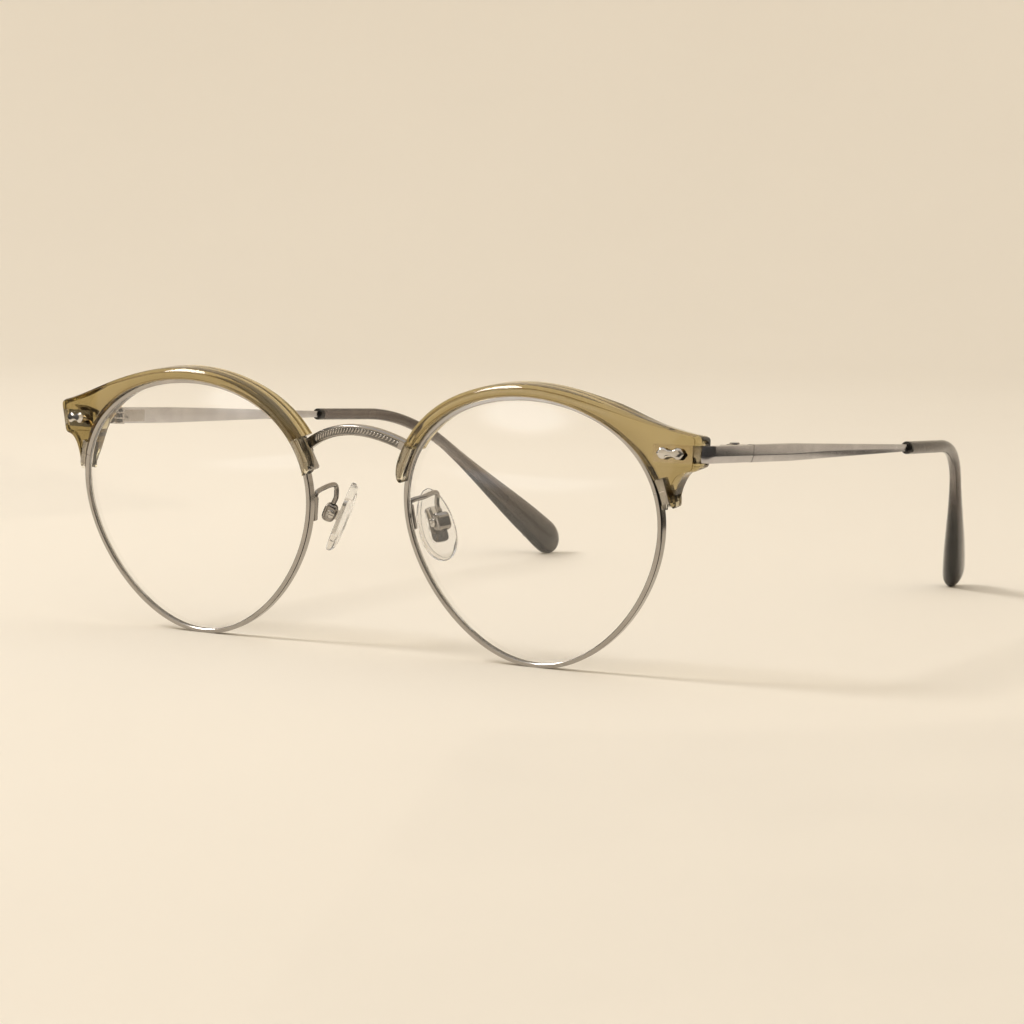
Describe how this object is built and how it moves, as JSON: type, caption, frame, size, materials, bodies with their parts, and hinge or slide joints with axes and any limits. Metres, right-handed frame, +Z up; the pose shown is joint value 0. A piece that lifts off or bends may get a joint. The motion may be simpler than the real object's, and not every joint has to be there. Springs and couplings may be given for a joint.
{
  "type": "round eyeglasses",
  "caption": "Round browline eyeglasses with thin metal rims, clear tinted brows, an arched bridge, rocking nose pads and folding temples with sleeved tips.",
  "frame": {"origin": "on the table, under the middle of the bounding box of the open glasses", "axes": "+Z up from the table, +Y back along the open temples, +X towards the wearer's left; the front faces -Y"},
  "size_m": [0.1354, 0.1568, 0.0487],
  "materials": {
    "gunmetal": "satin gunmetal plating",
    "steel": "bright screws and rivets",
    "acetate": "polished translucent khaki acetate",
    "sleeve": "polished translucent grey olive acetate",
    "lens": "clear coated lens",
    "silicone": "clear silicone"
  },
  "bodies": {
    "front": {"bridge": "gunmetal", "rim_left": "gunmetal", "rim_right": "gunmetal", "lens_left": "lens", "lens_right": "lens", "rim_lock_screw_left": "steel", "rim_lock_screw_right": "steel", "brow_left": "acetate", "brow_right": "acetate", "brow_screw_left": "steel", "brow_screw_right": "steel", "brow_rivet_left": "steel", "brow_rivet_right": "steel", "endpiece_left": "gunmetal", "endpiece_right": "gunmetal", "front_hinge_left": "gunmetal", "front_hinge_right": "gunmetal", "hinge_screw_left": "steel", "hinge_screw_right": "steel", "pad_arm_left": "gunmetal", "pad_arm_right": "gunmetal", "pad_cup_left": "gunmetal", "pad_cup_right": "gunmetal", "pad_screw_left": "steel", "pad_screw_right": "steel"},
    "temple_arm_left": {"temple_left": "gunmetal", "temple_hinge_left": "gunmetal", "temple_tip_left": "sleeve"},
    "temple_arm_right": {"temple_right": "gunmetal", "temple_hinge_right": "gunmetal", "temple_tip_right": "sleeve"},
    "pad_left": {"nose_pad_left": "silicone", "pad_core_left": "steel"},
    "pad_right": {"nose_pad_right": "silicone", "pad_core_right": "steel"}
  },
  "joints": [
    {"name": "temple_fold_left", "type": "hinge", "parent": "front", "child": "temple_arm_left", "pos_m": [0.06499, -0.05852, 0.03722], "axis": [0, 0.0471, 0.9989], "range_deg": [0, 88]},
    {"name": "temple_fold_right", "type": "hinge", "parent": "front", "child": "temple_arm_right", "pos_m": [-0.06499, -0.05852, 0.03722], "axis": [0, -0.0471, -0.9989], "range_deg": [0, 82]},
    {"name": "pad_rock_left", "type": "hinge", "parent": "front", "child": "pad_left", "pos_m": [0.01177, -0.06495, 0.02279], "axis": [0.4695, 0.8781, 0.0923], "range_deg": [-10, 10]},
    {"name": "pad_rock_right", "type": "hinge", "parent": "front", "child": "pad_right", "pos_m": [-0.01177, -0.06495, 0.02279], "axis": [-0.4695, 0.8781, 0.0923], "range_deg": [-10, 10]}
  ]
}
